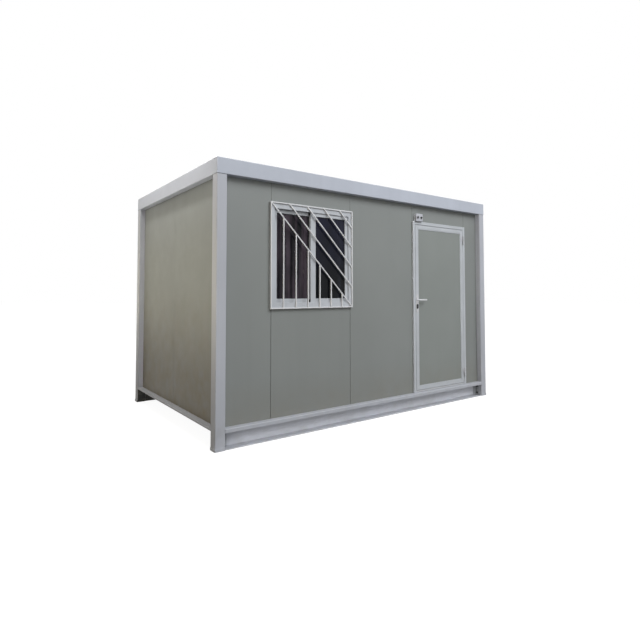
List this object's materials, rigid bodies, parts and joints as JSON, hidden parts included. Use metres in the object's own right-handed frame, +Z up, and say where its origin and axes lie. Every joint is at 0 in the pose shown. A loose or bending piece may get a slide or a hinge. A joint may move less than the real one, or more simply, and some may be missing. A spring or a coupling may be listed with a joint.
{
  "type": "insulated cabin",
  "caption": "Flat-roofed site cabin of insulated grey panels in a pale steel frame, with a hinged door, a lever handle and a sliding window behind a bar grille.",
  "frame": {"origin": "middle of the footprint, on the ground under the floor", "axes": "+X along the front wall towards the door end, +Y from the front to the rear, +Z up"},
  "size_m": [4.008, 2.478, 2.635],
  "materials": {
    "frame_paint": "satin",
    "roof_ring_paint": "satin",
    "panel_skin": "matte",
    "roof_skin": "matte",
    "dark_steel": "matte",
    "floor_board": "matte",
    "white_aluminium": "satin",
    "plain_aluminium": "satin",
    "hinge_metal": "satin",
    "grille_paint": "satin",
    "dark_glass": "gloss",
    "door_skin": "matte",
    "key_metal": "satin",
    "white_plastic": "satin"
  },
  "bodies": {
    "cabin": {"front_left_post": "frame_paint", "front_right_post": "frame_paint", "rear_left_post": "frame_paint", "rear_right_post": "frame_paint", "front_floor_beam": "frame_paint", "rear_floor_beam": "frame_paint", "left_floor_rail": "frame_paint", "right_floor_rail": "frame_paint", "beam_end_cleats": "dark_steel", "floor_joists": "dark_steel", "floor_deck": "floor_board", "front_roof_beam": "roof_ring_paint", "rear_roof_beam": "roof_ring_paint", "left_roof_beam": "roof_ring_paint", "right_roof_beam": "roof_ring_paint", "roof_sheet": "roof_skin", "front_wall_left_panel": "panel_skin", "front_wall_under_window": "panel_skin", "front_wall_over_window": "panel_skin", "front_wall_middle_panel": "panel_skin", "front_wall_over_door": "panel_skin", "front_wall_right_panel": "panel_skin", "rear_wall_panel_1": "panel_skin", "rear_wall_panel_2": "panel_skin", "rear_wall_panel_3": "panel_skin", "rear_wall_panel_4": "panel_skin", "left_wall_panel_1": "panel_skin", "left_wall_panel_2": "panel_skin", "right_wall_panel_1": "panel_skin", "right_wall_panel_2": "panel_skin", "window_frame": "white_aluminium", "window_sashes": "white_aluminium", "window_glass": "dark_glass", "window_grille": "grille_paint", "door_jambs": "white_aluminium", "door_head": "white_aluminium", "door_threshold": "plain_aluminium", "hinge_frame_halves": "hinge_metal", "inlet_box": "white_plastic"},
    "door": {"hinge_leaf_halves": "hinge_metal", "door_leaf_frame": "white_aluminium", "door_infill": "door_skin", "lock_plates": "plain_aluminium", "key_cylinder": "key_metal"},
    "lever": {"door_lever": "plain_aluminium"}
  },
  "joints": [
    {"name": "door_swing", "type": "hinge", "parent": "cabin", "child": "door", "pos_m": [1.5865, -1.202, 1.25], "axis": [0, 0, 1], "range_deg": [0, 160]},
    {"name": "lever_turn", "type": "hinge", "parent": "door", "child": "lever", "pos_m": [0.678, -1.17, 1.315], "axis": [0, 1, 0], "range_deg": [0, 40], "stiffness_Nm_per_rad": 1.5, "springref_deg": -22.92}
  ]
}
